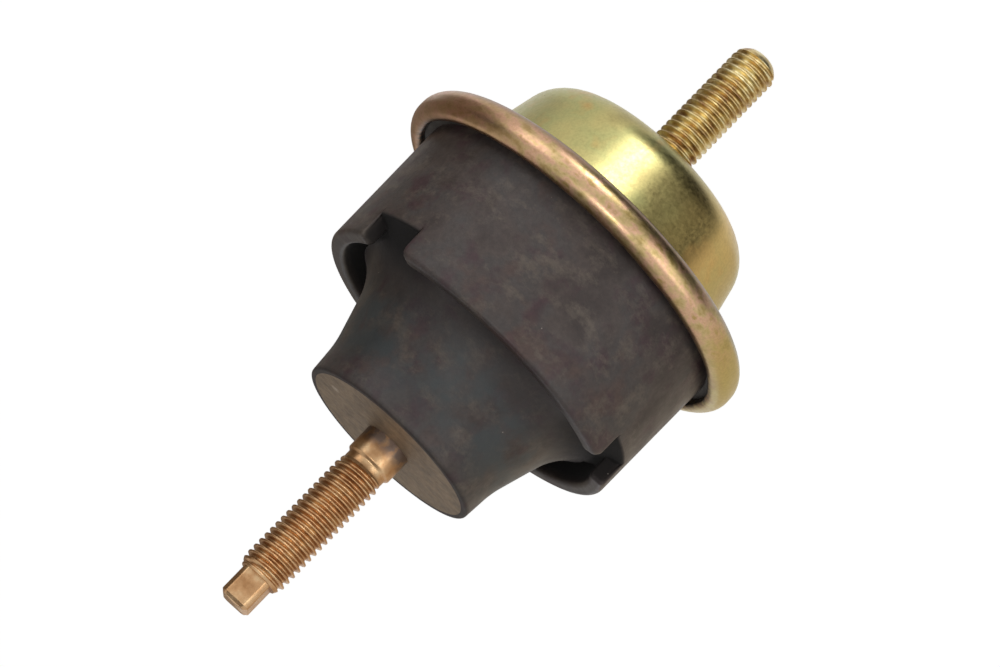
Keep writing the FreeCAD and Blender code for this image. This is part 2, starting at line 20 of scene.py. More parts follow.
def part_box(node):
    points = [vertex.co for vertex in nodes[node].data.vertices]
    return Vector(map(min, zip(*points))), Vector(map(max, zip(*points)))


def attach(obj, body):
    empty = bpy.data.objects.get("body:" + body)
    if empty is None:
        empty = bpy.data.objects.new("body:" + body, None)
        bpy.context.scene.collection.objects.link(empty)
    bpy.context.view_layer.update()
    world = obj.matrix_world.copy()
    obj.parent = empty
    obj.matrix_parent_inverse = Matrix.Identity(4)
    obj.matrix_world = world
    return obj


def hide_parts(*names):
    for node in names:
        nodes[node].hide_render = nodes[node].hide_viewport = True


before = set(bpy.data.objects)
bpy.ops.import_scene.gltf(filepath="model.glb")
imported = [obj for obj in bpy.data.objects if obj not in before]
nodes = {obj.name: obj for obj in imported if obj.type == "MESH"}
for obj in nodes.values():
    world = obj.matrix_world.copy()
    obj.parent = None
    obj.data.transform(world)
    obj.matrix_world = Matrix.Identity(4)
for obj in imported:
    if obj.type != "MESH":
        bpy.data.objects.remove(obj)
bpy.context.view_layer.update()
MM = 0.001
print("pieces in the frame:", ", ".join(sorted(nodes)))

# %% [markdown]
# ## Measures from the frame
#
# Most sizes are read from the frame, so the dressed pieces follow it. The rest are the
# sizes of details that a bounding box can't give, such as a fillet or the pitch of a thread.
# All of them are in millimetres, as on a drawing.

# %% Read the main levels and radii, in millimetres


def reach(node):
    """A node's outer radius, lowest level and highest level, in millimetres."""
    low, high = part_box(node)
    return high.y / MM, low.z / MM, high.z / MM


ROLL_RADIUS, CUP_SEAT, ROLL_TOP = reach("base_cup")
SKIRT_FOOT_RADIUS, STACK_BASE, CORE_FACE = reach("rubber_spring")
CORE_RADIUS, CORE_BASE, _ = reach("core_insert")
_, SHANK_END, STUD_TIP = reach("engine_stud")
HEAD_RADIUS, BODY_TIP, HEAD_TOP = reach("body_stud")
_, _, SLEEVE_TOP = reach("outer_ring")
TRACK_RADIUS, _, TRACK_TOP = reach("track_body")
print(f"rim {2 * ROLL_RADIUS:.1f} mm wide, {STUD_TIP - BODY_TIP:.1f} mm over the studs")

# %% [markdown]
# ## Outlines with rounded corners
#
# Most pieces here are bodies of revolution: turned, drawn or moulded round one axis. A
# designer draws half of the section and spins it. So do we: an outline is a short list of
# corners, each a radius and a height with an optional rounding. Blender's Screw modifier could
# spin it, but a grid of our own lets the section change on its way round, which the lip, the
# spring and the threads need.

# %% Round the corners of an outline


def rounded(corners, steps):
    """Points along an outline of (radius, height, rounding) corners, closed back to its start."""
    points = []
    count = len(corners)
    for index, corner in enumerate(corners):
        here = np.array(corner[:2], float)
        turn = corner[2] if len(corner) > 2 else 0
        if not turn:
            points.append(here)
            continue
        back = np.array(corners[index - 1][:2], float) - here
        ahead = np.array(corners[(index + 1) % count][:2], float) - here
        back /= np.linalg.norm(back)
        ahead /= np.linalg.norm(ahead)
        half = math.acos(np.clip(back @ ahead, -1, 1)) / 2
        middle = here + (back + ahead) / np.linalg.norm(back + ahead) * turn / math.sin(half)
        first = here + back * turn / math.tan(half) - middle
        last = here + ahead * turn / math.tan(half) - middle
        sweep = math.atan2(first[0] * last[1] - first[1] * last[0], first @ last)
        for step in range(steps + 1):
            angle = sweep * step / steps
            cos, sin = math.cos(angle), math.sin(angle)
            points.append(middle + [first[0] * cos - first[1] * sin,
                                    first[0] * sin + first[1] * cos])
    return np.array(points)


def divided(points, longest):
    """The same outline with every run cut into steps no longer than a given length."""
    out = []
    for here, ahead in zip(points, points[1:]):
        pieces = max(1, math.ceil(np.linalg.norm(ahead - here) / longest))
        out += [here + (ahead - here) * piece / pieces for piece in range(pieces)]
    return np.array(out + [points[-1]])


# %% [markdown]
# A grid of points, one column for each station round the axis, becomes a mesh with one quad
# for each cell. Points that fall on each other, as on the axis, are merged. Edges sharper
# than a given angle stay crisp, and all the rest are shaded smooth. The last column joins the
# first, unless the grid says that it ends where it began, as a wound thread does.

# %% Build a mesh from columns of points
MERGE = 0.002


def skin(name, radii, heights, bearings, crisp=40, ring=True):
    """A mesh from arrays of radius, height and bearing, one row for each column of points."""
    columns, rows = radii.shape
    bearings = np.broadcast_to(bearings, radii.shape)
    places = np.stack([radii * np.cos(bearings), radii * np.sin(bearings), heights], -1) * MM
    a, b = np.meshgrid(np.arange(columns if ring else columns - 1), np.arange(rows),
                       indexing="ij")
    right, up = (a + 1) % columns, (b + 1) % rows
    faces = np.stack([a * rows + b, right * rows + b, right * rows + up, a * rows + up], -1)
    mesh = bpy.data.meshes.new(name)
    mesh.from_pydata(places.reshape(-1, 3).tolist(), [], faces.reshape(-1, 4).tolist())
    shell = bmesh.new()
    shell.from_mesh(mesh)
    bmesh.ops.remove_doubles(shell, verts=shell.verts, dist=MERGE * MM)
    bmesh.ops.dissolve_degenerate(shell, edges=shell.edges, dist=MERGE * MM)
    bmesh.ops.recalc_face_normals(shell, faces=shell.faces)
    shell.to_mesh(mesh)
    shell.free()
    mesh.polygons.foreach_set("use_smooth", [True] * len(mesh.polygons))
    mesh.set_sharp_from_angle(angle=math.radians(crisp))
    piece = bpy.data.objects.new(name, mesh)
    bpy.context.scene.collection.objects.link(piece)
    mesh.calc_loop_triangles()
    print(f"{name}: {len(mesh.loop_triangles)} triangles")
    return piece


# %% [markdown]
# ## The cup
#
# The cup is drawn from one disc of sheet steel in a press. Its mouth is flared flat, the ring
# of the spring is laid in it, and the edge is rolled back over the stack. It could be a solid
# with a plain round rim, but the eye reads the sheet's thickness at the lip, so the outline
# follows the sheet there and back.

# %% Draw the cup
CUP_SHEET = 1.6
STUD_HOLE = 5.6
CUP_FLOOR_RADIUS = 25.75
CUP_SHOULDER = 8.7
CUP_MOUTH_RADIUS = 29.9
CUP_MOUTH_ROUND = 1.5
ROLL_BOTTOM = 19.35
ROLL_LOWER_ROUND = 3.65
ROLL_UPPER_ROUND = 3.0
LIP_RADIUS = 37.8
LIP_EDGE = 0.5
CUP_STEP = 1.5
CUP_ROUND_STEPS = 10

cup_slope = (CUP_MOUTH_RADIUS - CUP_FLOOR_RADIUS) / (ROLL_BOTTOM - CUP_SEAT)
sheet_across = CUP_SHEET * math.hypot(1, cup_slope)
lip_underside = ROLL_TOP - CUP_SHEET
roll_floor = ROLL_BOTTOM + CUP_SHEET
roll_inside = ROLL_RADIUS - CUP_SHEET
cup_floor = CUP_SEAT + CUP_SHEET
cup_outline = divided(rounded([
    (STUD_HOLE, CUP_SEAT),
    (CUP_FLOOR_RADIUS, CUP_SEAT, CUP_SHOULDER),
    (CUP_MOUTH_RADIUS, ROLL_BOTTOM, CUP_MOUTH_ROUND),
    (ROLL_RADIUS, ROLL_BOTTOM, ROLL_LOWER_ROUND),
    (ROLL_RADIUS, ROLL_TOP, ROLL_UPPER_ROUND),
    (LIP_RADIUS, ROLL_TOP, LIP_EDGE),
    (LIP_RADIUS, lip_underside),
    (roll_inside, lip_underside, ROLL_UPPER_ROUND - CUP_SHEET),
    (roll_inside, roll_floor, ROLL_LOWER_ROUND - CUP_SHEET),
    (CUP_FLOOR_RADIUS + cup_slope * roll_floor - sheet_across, roll_floor,
     CUP_MOUTH_ROUND + CUP_SHEET),
    (CUP_FLOOR_RADIUS + cup_slope * cup_floor - sheet_across, cup_floor,
     CUP_SHOULDER - CUP_SHEET),
    (STUD_HOLE, cup_floor),
], CUP_ROUND_STEPS), CUP_STEP)
print("points in the cup's outline:", len(cup_outline))

# %% [markdown]
# The lip of a rolled edge is never even. It settles lower on one side than on the other, and
# its inner edge wanders by a few tenths of a millimetre. A random number at each point would
# look torn, so a few slow waves with random starts are added up instead. They grow from the
# roll's outside, where nothing moves, to the lip.

# %% Spin the cup and settle its lip
CUP_COLUMNS = 360
LIP_DROP = 0.45
LIP_TILT = 0.4
LIP_WANDER = 0.25


def wander(bearings, seed, waves):
    """A smooth random line round the axis, from about -1 to 1, made of a few slow waves."""
    chance = np.random.default_rng(seed)
    line = np.zeros_like(bearings)
    for wave in waves:
        line += np.sin(wave * bearings + chance.uniform(0, 2 * math.pi)) * chance.uniform(0.5, 1)
    return line / len(waves)


cup_bearings = np.linspace(0, 2 * math.pi, CUP_COLUMNS, endpoint=False)[:, None]
cup_radii = np.ones((CUP_COLUMNS, 1)) * cup_outline[:, 0]
cup_heights = np.ones((CUP_COLUMNS, 1)) * cup_outline[:, 1]
on_lip = np.clip((roll_inside - cup_radii) / (roll_inside - LIP_RADIUS), 0, 1)
on_lip *= (cup_heights > lip_underside + CUP_SHEET / 2)
lip_level = -LIP_DROP - LIP_TILT * np.cos(cup_bearings)
lip_level = lip_level + LIP_WANDER * wander(cup_bearings, 3, (5, 8, 13, 21))
cup_heights = cup_heights + on_lip ** 2 * lip_level
cup_radii = cup_radii + on_lip * LIP_WANDER * wander(cup_bearings, 4, (7, 11, 17, 29))
cup = skin("cup", cup_radii, cup_heights, cup_bearings)
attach(cup, "root")
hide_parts("base_cup")

# %% [markdown]
# ## The rubber spring
#
# The spring is moulded round the core and the outer ring in one shot: a cone whose foot
# flares into a ledge, and a skirt that stands round it. Part of the skirt is a stop flap
# between two notches. Behind the rest, two deep kidney-shaped slots keep the spring soft in
# one direction. It could be cut from a solid with booleans, but those leave long thin faces
# that shade badly. Instead each station round the axis gets its own section with the same
# number of points, so notches, slots and rounded corners all come out of one even grid.

# %% Measures of the spring
# From the flange up: the skirt, the ledge in it, the flare and the cone to the core.
FLANGE_TOP = 25.05
SKIRT_TOP = 54.65
SKIRT_TOP_RADIUS = 35.7
SKIRT_EDGE = 1.0
WALL_INSIDE = 32.2
LEDGE = 48.9
LEDGE_EDGE = 0.6
FLARE_FOOT = (26.2, 50.8, 14.0)
NECK_END = (20.85, 69.0, 22.0)
RIM_RADIUS = 20.3
RIM_EDGE = 0.5
FLARE_ROUND_STEPS = 16
# The slots behind the skirt, and the steel ring's sleeve, which is moulded in.
SLOT_INSIDE = 29.5
SLOT_FLOOR = 40.0
SLOT_ROUND = 1.4
SLEEVE_BORE = 32.6
SLEEVE_RADIUS = 34.6

# Bearings round the axis, in degrees.
FLAP_MIDDLE = 261.7
FLAP_ANGLE = 99.1
NOTCH_ANGLE = 20.0
SEPTUM_ANGLE = 17.0
WEB_ANGLE = 30.0
STATION_RADIUS = (WALL_INSIDE + SKIRT_TOP_RADIUS) / 2


def skirt(height):
    """The skirt's outer radius at a height."""
    lean = (SKIRT_FOOT_RADIUS - SKIRT_TOP_RADIUS) / (SKIRT_TOP - FLANGE_TOP)
    return SKIRT_FOOT_RADIUS - lean * (height - FLANGE_TOP)


flare_outline = rounded([
    (0, LEDGE),
    (skirt(LEDGE), LEDGE),
    FLARE_FOOT,
    NECK_END,
    (RIM_RADIUS, CORE_FACE, RIM_EDGE),
    (CORE_RADIUS, CORE_FACE),
], FLARE_ROUND_STEPS)[1:]


def flare(radius):
    """Height of the flare and cone at a radius."""
    return np.interp(radius, flare_outline[::-1, 0], flare_outline[::-1, 1])


print(f"ledge {LEDGE:.1f} mm high, {flare(WALL_INSIDE):.1f} mm at the skirt's wall")

# %% [markdown]
# A section is made of stretches, each with a fixed number of points. Two stretches change on
# the way round: the skirt's wall, which may stand or be cut down to the ledge, and the slot,
# which may be there or not. Both forms of a stretch have as many points, so the quads between
# two stations always match.

# %% Spread points along a stretch
SKIRT_RUN = LEDGE - 1.2   # the plain part of the skirt ends here, under the ledge's edge
SKIRT_STEPS = 25


def along(path, shares):
    """Points spread along a path, with a fixed number of steps on each of its runs."""
    out = []
    for here, ahead, steps in zip(path, path[1:], shares):
        here, ahead = np.array(here, float), np.array(ahead, float)
        out += [here + (ahead - here) * step / steps for step in range(steps)]
    return out


skirt_heights = np.linspace(FLANGE_TOP, SKIRT_RUN, SKIRT_STEPS + 1)[:-1]
skirt_stretch = [np.array((skirt(height), height)) for height in skirt_heights]
print("points up the plain skirt:", len(skirt_stretch))

# %% [markdown]
# Where the wall stands, the outline goes up its outer face, over its rounded top and down its
# inner face. Where it is cut down, the same number of points goes over the cut edge and along
# the ledge. Near an end of a sector the wall draws in a little, at its side and its top, and
# the ledge rises: that gives the rounded edges and the small fillet of a moulding.

# %% The wall and the ledge
INWARD = 5.0       # a helper corner this far inside only sets the direction of the first run
ROOT_LIFT = 0.2    # the wall's side leaves the skirt's slope this far above the ledge
WALL_ROUND_STEPS = 6
LEDGE_ROUND_STEPS = 8
SIDE_STEPS = 3
# Steps on each run: the root, the outer face, a round, the top, a round, the inner face.
WALL_STEPS = [SIDE_STEPS, 5] + [1] * WALL_ROUND_STEPS + [5] + [1] * WALL_ROUND_STEPS + [6]
FILLET_RUN = (2.0, 0.6)   # the fillet fades towards the cone and towards the skirt's edge


def wall_stretch(side, top):
    """Up the wall's outer face, over its top and down its inner face, drawn in near an end."""
    outer = rounded([
        (WALL_INSIDE - INWARD, SKIRT_RUN),
        (skirt(SKIRT_RUN), SKIRT_RUN),
        (skirt(LEDGE) - side, LEDGE + ROOT_LIFT),
        (SKIRT_TOP_RADIUS - side, SKIRT_TOP - top, SKIRT_EDGE),
        (WALL_INSIDE + side, SKIRT_TOP - top, SKIRT_EDGE),
        (WALL_INSIDE + side, flare(WALL_INSIDE + side)),
    ], WALL_ROUND_STEPS)
    return along(list(outer[1:]), WALL_STEPS)


def ledge_stretch(fillet):
    """The same number of points over the skirt's cut edge and along the ledge."""
    outer = rounded([
        (WALL_INSIDE - INWARD, SKIRT_RUN),
        (skirt(SKIRT_RUN), SKIRT_RUN),
        (skirt(LEDGE), LEDGE, LEDGE_EDGE),
        (WALL_INSIDE, flare(WALL_INSIDE)),
    ], LEDGE_ROUND_STEPS)
    edge = list(outer[1:])
    steps = sum(WALL_STEPS) - SIDE_STEPS - LEDGE_ROUND_STEPS
    radii = np.linspace(edge[-2][0], WALL_INSIDE, steps + 1)
    lift = fillet * np.clip((radii - WALL_INSIDE) / FILLET_RUN[0], 0, 1)
    lift = lift * np.clip((radii[0] - radii) / FILLET_RUN[1], 0, 1)
    floor = [(radius, flare(radius) + rise) for radius, rise in zip(radii, lift)]
    return along(edge[:2], [SIDE_STEPS]) + [np.array(p) for p in edge[1:-2] + floor[:-1]]


print("points in the wall and in the ledge:", len(wall_stretch(0, 0)), len(ledge_stretch(0)))

# %% [markdown]
# A slot is a narrow groove with a rounded floor, as the mould's core pin leaves it. Where there
# is no slot, its points run straight along the flare.

# %% The slot and the cone
SLOT_ROUND_STEPS = 6
# Steps down one bank, round, along the floor, round, and up the other bank.
SLOT_STEPS = [8] + [1] * SLOT_ROUND_STEPS + [2] + [1] * SLOT_ROUND_STEPS + [8]
CONE_STEP = 1.0
JUST_INSIDE = 0.05


def slot_stretch(cut):
    """From the wall's foot to the bank of the slot, straight along the flare or by the floor."""
    if cut:
        path = rounded([
            (WALL_INSIDE, flare(WALL_INSIDE)),
            (WALL_INSIDE, SLOT_FLOOR, SLOT_ROUND),
            (SLOT_INSIDE, SLOT_FLOOR, SLOT_ROUND),
            (SLOT_INSIDE, flare(SLOT_INSIDE)),
        ], SLOT_ROUND_STEPS)
        return along(list(path), SLOT_STEPS)
    radii = np.linspace(WALL_INSIDE, SLOT_INSIDE, sum(SLOT_STEPS) + 1)[:-1]
    return [np.array((radius, flare(radius))) for radius in radii]


def cone_stretch():
    """Up the flare, the cone and the neck to the rubber edge round the core."""
    rising = flare_outline[flare_outline[:, 0] < SLOT_INSIDE - JUST_INSIDE]
    start = np.array([[SLOT_INSIDE, flare(SLOT_INSIDE)]])
    return list(divided(np.vstack([start, rising]), CONE_STEP))


print("points in the slot and up the cone:", len(slot_stretch(True)), len(cone_stretch()))

# %% [markdown]
# The last stretch is never seen once the mount is closed: round the core, over the top of the
# fluid chamber, and down beside the track body to the steel ring. It follows the solid's form
# in a few points, and closes the body.

# %% The hidden side, and a whole section
CORE_DISC = 4.5
CORE_STEP = 3.0
CORE_TIP_RADIUS = 8.0
UNDERLAY = 4.3
CHAMBER_TOP_RADIUS = 7.0
CHAMBER_SHOULDER = (14.0, 7.0)
CLAMP_WIDTH = 3.2

hidden_stretch = [np.array(point, float) for point in (
    (CORE_RADIUS, CORE_FACE - CORE_DISC),
    (CORE_RADIUS - CORE_STEP, CORE_FACE - CORE_DISC),
    (CORE_TIP_RADIUS, CORE_BASE),
    (0, CORE_BASE),
    (0, CORE_BASE - UNDERLAY),
    (CHAMBER_TOP_RADIUS, CORE_BASE - UNDERLAY),
    (CHAMBER_SHOULDER[0], CORE_BASE - CHAMBER_SHOULDER[1]),
    (TRACK_RADIUS - CLAMP_WIDTH, TRACK_TOP),
    (TRACK_RADIUS, TRACK_TOP),
    (TRACK_RADIUS, STACK_BASE),
    (SLEEVE_BORE, STACK_BASE),
    (SLEEVE_BORE, SLEEVE_TOP),
    (SLEEVE_RADIUS, SLEEVE_TOP),
    (SLEEVE_RADIUS, FLANGE_TOP),
)]


def section(wall=True, cut=False, side=0.0, top=0.0, fillet=0.0):
    """One station's whole outline: with or without the skirt's wall, and with or without a slot."""
    middle = wall_stretch(side, top) if wall else ledge_stretch(fillet)
    return np.array(skirt_stretch + middle + slot_stretch(cut) + cone_stretch() + hidden_stretch)


print("points in a section:", len(section()), len(section(wall=False)), len(section(cut=True)))

# %% [markdown]
# The stations run round the axis sector by sector: flap, notch, back wall with its slots,
# notch. Near an end of a sector the wall draws in along a quarter circle, and the stations
# stand closer, so that the rounding is smooth.

# %% Set the stations round the axis
FLAP_CORNER = 2.0
WALL_CORNER = 1.0
SIDE_EDGE = 0.5
FOOT_FILLET = 0.7
CORNER_STEPS = 5
STATION_STEP = 1.0


def quarter(distance, radius):
    """How far a quarter-round of this radius still stands off at a distance from its edge."""
    left = max(0.0, radius - distance)
    return radius - math.sqrt(radius ** 2 - left ** 2)


def sector(start, sweep, wall, corner=WALL_CORNER):
    """Stations of one sector, denser towards its two end faces."""
    length = math.radians(sweep) * STATION_RADIUS
    near = [corner * (1 - math.cos(math.pi / 2 * step / CORNER_STEPS))
            for step in range(CORNER_STEPS + 1)]
    count = max(2, round((sweep - 2 * math.degrees(corner / STATION_RADIUS)) / STATION_STEP))
    middle = np.linspace(corner, length - corner, count + 1)[1:-1]
    distances = near + list(middle) + [length - distance for distance in reversed(near)]
    stations = []
    for distance in distances:
        edge = min(distance, length - distance)
        bearing = start + math.degrees(distance / STATION_RADIUS)
        stations.append((bearing, section(
            wall, False, quarter(edge, SIDE_EDGE), quarter(edge, corner),
            quarter(edge, FOOT_FILLET))))
    return stations


def slot_sector(start, sweep, cut):
    """Stations of the back wall with or without a slot, at an even spacing."""
    count = max(2, round(sweep / STATION_STEP))
    return [(start + sweep * step / count, section(True, cut)) for step in range(count + 1)]


print("stations of a notch:", len(sector(0, NOTCH_ANGLE, False)))

# %% [markdown]
# The back wall runs from notch to notch: a solid end, a slot, the web, a slot and a solid end.
# The two solid ends are halves of a sector, so only the side towards the notch is rounded.
# Where the section changes, two stations share one bearing, and a few blends between them fill
# the flat end face.

# %% Lay the sectors round the axis and skin the spring
END_BLENDS = 5
AT_SAME = 0.01

back_start = FLAP_MIDDLE + FLAP_ANGLE / 2 + NOTCH_ANGLE
back_sweep = 360 - FLAP_ANGLE - 2 * NOTCH_ANGLE
slot_sweep = (back_sweep - WEB_ANGLE) / 2 - SEPTUM_ANGLE
septum = sector(back_start, 2 * SEPTUM_ANGLE, True)
last_septum = sector(back_start + back_sweep - 2 * SEPTUM_ANGLE, 2 * SEPTUM_ANGLE, True)
septum = [station for station in septum if station[0] <= back_start + SEPTUM_ANGLE + AT_SAME]
last_septum = [station for station in last_septum
               if station[0] >= back_start + back_sweep - SEPTUM_ANGLE - AT_SAME]
first_slot = back_start + SEPTUM_ANGLE
web = first_slot + slot_sweep
second_slot = web + WEB_ANGLE
sectors = [
    sector(FLAP_MIDDLE - FLAP_ANGLE / 2, FLAP_ANGLE, True, FLAP_CORNER),
    sector(FLAP_MIDDLE + FLAP_ANGLE / 2, NOTCH_ANGLE, False),
    septum,
    slot_sector(first_slot, slot_sweep, True),
    slot_sector(web, WEB_ANGLE, False),
    slot_sector(second_slot, slot_sweep, True),
    last_septum,
    sector(back_start + back_sweep, NOTCH_ANGLE, False),
]

spring_stations = []
for index, stations in enumerate(sectors):
    spring_stations += stations
    bearing, here = stations[-1]
    _, ahead = sectors[(index + 1) % len(sectors)][0]
    for step in range(1, END_BLENDS):
        spring_stations.append((bearing, here + (ahead - here) * step / END_BLENDS))
spring_bearings = np.radians([bearing for bearing, _ in spring_stations])[:, None]
spring_sections = np.array([outline for _, outline in spring_stations])
spring = skin("spring", spring_sections[..., 0], spring_sections[..., 1], spring_bearings,
              crisp=50)
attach(spring, "root")
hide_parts("rubber_spring")

# %% [markdown]
# ## Rolled threads
#
# Both studs carry an M10 thread with a pitch of 1.5 mm, rolled between dies, so crests and
# roots are a little rounded. A thread is one V-shaped ridge wound round the shaft. It could be
# a bump in the finish, but it shows on the outline, so it is modelled.

# %% The ridge of a thread
PITCH = 1.5
THREAD_RADIUS = 4.95
THREAD_DEPTH = 0.86
CREST_WIDTH = 0.16    # share of the pitch that the crest takes
ROOT_START = 0.80     # share of the pitch at which the flanks reach the root
ROUNDNESS = 0.25      # how much the flanks ease into crest and root


def ridge(turn):
    """Depth below the crest, from 0 to 1, at a fraction of a pitch."""
    aside = abs(turn % 1 - 0.5) * 2
    slant = np.clip((aside - CREST_WIDTH) / (ROOT_START - CREST_WIDTH), 0, 1)
    return (1 - ROUNDNESS) * slant + ROUNDNESS * slant * slant * (3 - 2 * slant)


print(f"a thread {THREAD_DEPTH:.2f} mm deep on a shaft of {2 * THREAD_RADIUS:.1f} mm")

# %% [markdown]
# The shaft is a grid of its own. It is sheared by one pitch on its way round, so a row of
# points stays on the crest, or in the root, for the whole length, and the ridge is clean. The
# grid starts and ends at the same bearing, one pitch apart, so its ends aren't joined: points
# that meet there are merged. Towards each end the crests sink into the plain part. A square
# end is the same shaft, cut back to four flats.

# %% Thread a stud
THREAD_COLUMNS = 96
THREAD_STEPS = 12     # rows for each pitch
STUD_ROUND_STEPS = 4
FADE = 0.8
SQUARE_CHAMFER = 0.6
LEVEL_SLACK = 0.001


def threaded(name, below, above, lead_in, run_out, square=None):
    """A stud with a thread from the last corner of one outline to the first of the next.

    Towards each end the crests sink to that corner's radius over a given length.
    """
    first, last = below[-1], above[0]
    below = rounded(below + [(0, first[1])], STUD_ROUND_STEPS)[:-1]
    above = rounded([(0, last[1])] + above, STUD_ROUND_STEPS)[1:]
    start, end = first[1], last[1]
    turns = np.arange(-THREAD_STEPS, (end - start) / PITCH * THREAD_STEPS + 1) / THREAD_STEPS
    bearings = np.linspace(0, 2 * math.pi, THREAD_COLUMNS + 1)[:, None]
    ones = np.ones((THREAD_COLUMNS + 1, 1))
    heights = np.clip(start + (turns + bearings / (2 * math.pi)) * PITCH, start, end)
    crest = np.interp(heights, [start, start + lead_in, end - run_out, end],
                      [first[0], THREAD_RADIUS, THREAD_RADIUS, last[0]])
    fade = np.clip((heights - start) / FADE, 0, 1) * np.clip((end - heights) / FADE, 0, 1)
    cut = THREAD_RADIUS - THREAD_DEPTH * ridge(turns)
    radii = crest + (np.minimum(crest, cut) - crest) * fade
    radii = np.hstack([ones * below[:, 0], radii, ones * above[:, 0]])
    heights = np.hstack([ones * below[:, 1], heights, ones * above[:, 1]])
    if square:
        base, across, turned = square
        aside = (bearings - math.radians(turned) + math.pi / 4) % (math.pi / 2) - math.pi / 4
        inset = np.clip(heights - (STUD_TIP - SQUARE_CHAMFER), 0, SQUARE_CHAMFER)
        flat = (across / 2 - inset) / np.cos(aside)
        radii = np.where(heights >= base - LEVEL_SLACK, np.minimum(radii, flat), radii)
    return skin(name, radii, heights, bearings, crisp=60, ring=False)


# %% [markdown]
# The engine stud stands on the core with a plain collar. A relief leads into the thread, and
# its end is milled to a square, which a key holds while the nut is turned. Its outline is
# given in two parts, below and above the thread, and the thread goes between them.

# %% Turn the engine stud
SHANK_RADIUS = 5.1
SHANK_EDGE = 0.6
COLLAR_TOP = CORE_FACE + 5.9
COLLAR_CHAMFER = 0.5
COLLAR_EDGE = 0.4
RELIEF_RADIUS = 4.5
RELIEF = 1.3
THREAD_START = COLLAR_TOP + RELIEF
THREAD_END_RADIUS = 4.1
THREAD_RUN_OUT = 1.6
SQUARE_BASE = STUD_TIP - 6.7
SQUARE_ACROSS = 6.4
SQUARE_CORNER = 3.85
SQUARE_EDGE = 0.3
SQUARE_TURN = 11.25   # degrees; whole columns, so that the square's corners stay straight
END_GAP = 0.02        # a step between two corners that stand at one level

engine_stud = threaded("stud_with_square", [
    (0, SHANK_END),
    (SHANK_RADIUS, SHANK_END, SHANK_EDGE),
    (SHANK_RADIUS, COLLAR_TOP - COLLAR_CHAMFER, COLLAR_EDGE),
    (RELIEF_RADIUS, COLLAR_TOP, COLLAR_EDGE),
    (RELIEF_RADIUS, THREAD_START),
], [
    (THREAD_END_RADIUS, SQUARE_BASE - END_GAP),
    (SQUARE_CORNER, SQUARE_BASE),
    (SQUARE_CORNER, STUD_TIP - SQUARE_CHAMFER, SQUARE_EDGE),
    (SQUARE_CORNER - SQUARE_CHAMFER, STUD_TIP, SQUARE_EDGE),
    (0, STUD_TIP),
], PITCH, THREAD_RUN_OUT, (SQUARE_BASE, SQUARE_ACROSS, SQUARE_TURN))
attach(engine_stud, "root")
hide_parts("engine_stud")

# %% [markdown]
# The body stud leaves the middle of the cup. Its head is inside, and its thread starts at
# the seat and ends in a short lead-in, so that a nut finds it easily.

# %% Turn the body stud
BODY_LEAD = 1.2
BODY_TIP_RADIUS = 4.2
TIP_CONE = 1.3
TIP_FLAT = 3.0
TIP_DOME = 0.1
TIP_ROUND = 2.0
HEAD_EDGE = 0.3
SEAT_FADE = 0.1

body_stud = threaded("stud_with_head", [
    (0, BODY_TIP),
    (TIP_FLAT, BODY_TIP + TIP_DOME, TIP_ROUND),
    (BODY_TIP_RADIUS, BODY_TIP + TIP_CONE),
], [
    (THREAD_RADIUS, CUP_SEAT - END_GAP),
    (STUD_HOLE, CUP_SEAT),
    (STUD_HOLE, cup_floor),
    (HEAD_RADIUS, cup_floor, HEAD_EDGE),
    (HEAD_RADIUS, HEAD_TOP, HEAD_EDGE),
    (0, HEAD_TOP),
], BODY_LEAD, SEAT_FADE)
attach(body_stud, "root")
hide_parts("body_stud")

# %% [markdown]
# ## Finishes
#
# Each finish starts from what the real one is. Colours are written as sRGB hex values, as a
# painter's chart gives them, and one function turns them into the linear values that the
# shader works with. One small function adds a node with its settings and its links, and
# everything below is built with it.

# %% Colours, nodes and new materials


def linear(colour):
    """An sRGB hex colour as a linear RGBA value."""
    parts = [int(colour[place:place + 2], 16) / 255 for place in (1, 3, 5)]
    parts = [part / 12.92 if part <= 0.04045 else ((part + 0.055) / 1.055) ** 2.4
             for part in parts]
    return (*parts, 1)


def add(tree, kind, inputs=None, out=0, stops=(), **settings):
    """Adds a node with its settings and links, and gives back one of its outputs.

    Stops are places along a colour ramp, each with a hex colour or a grey from 0 to 1.
    """
    made = tree.nodes.new(kind)
    for name, value in settings.items():
        setattr(made, name, value)
    for name, value in (inputs or {}).items():
        if isinstance(value, bpy.types.NodeSocket):
            tree.links.new(value, made.inputs[name])
        else:
            made.inputs[name].default_value = value
    if stops:
        elements = made.color_ramp.elements
        while len(elements) < len(stops):
            elements.new(0.5)
        for element, (place, colour) in zip(elements, stops):
            element.position = place
            element.color = linear(colour) if isinstance(colour, str) else (colour,) * 3 + (1,)
    return made.outputs[out]


def begin(name, **shader):
    """A material with its shader's plain values, its node tree and its place in space."""
    material = bpy.data.materials.new(name)
    material.use_nodes = True
    tree = material.node_tree
    surface = tree.nodes["Principled BSDF"]
    for socket, value in shader.items():
        surface.inputs[socket.replace("_", " ")].default_value = value
    return material, tree, surface, add(tree, "ShaderNodeTexCoord", out="Object")


def dress(piece, material):
    """Gives a piece one material."""
    piece.data.materials.clear()
    piece.data.materials.append(material)
    print(f"{piece.name}: {material.name}")


# %% [markdown]
# Worn and plated surfaces are uneven in a few ways that come back again and again. Clouds of
# noise drift from one shade to another. A zone is a part of a piece, between given levels or
# radii, with a soft edge. Spots are rare small specks. A painted image could hold all this,
# but noise wraps round any form without a seam. The patterns are laid in the piece's own space
# in metres, so each scale comes from a real size in millimetres.

# %% Patterns for uneven surfaces
SPOT_CORE = 0.5   # share of a spot's radius that has its full colour


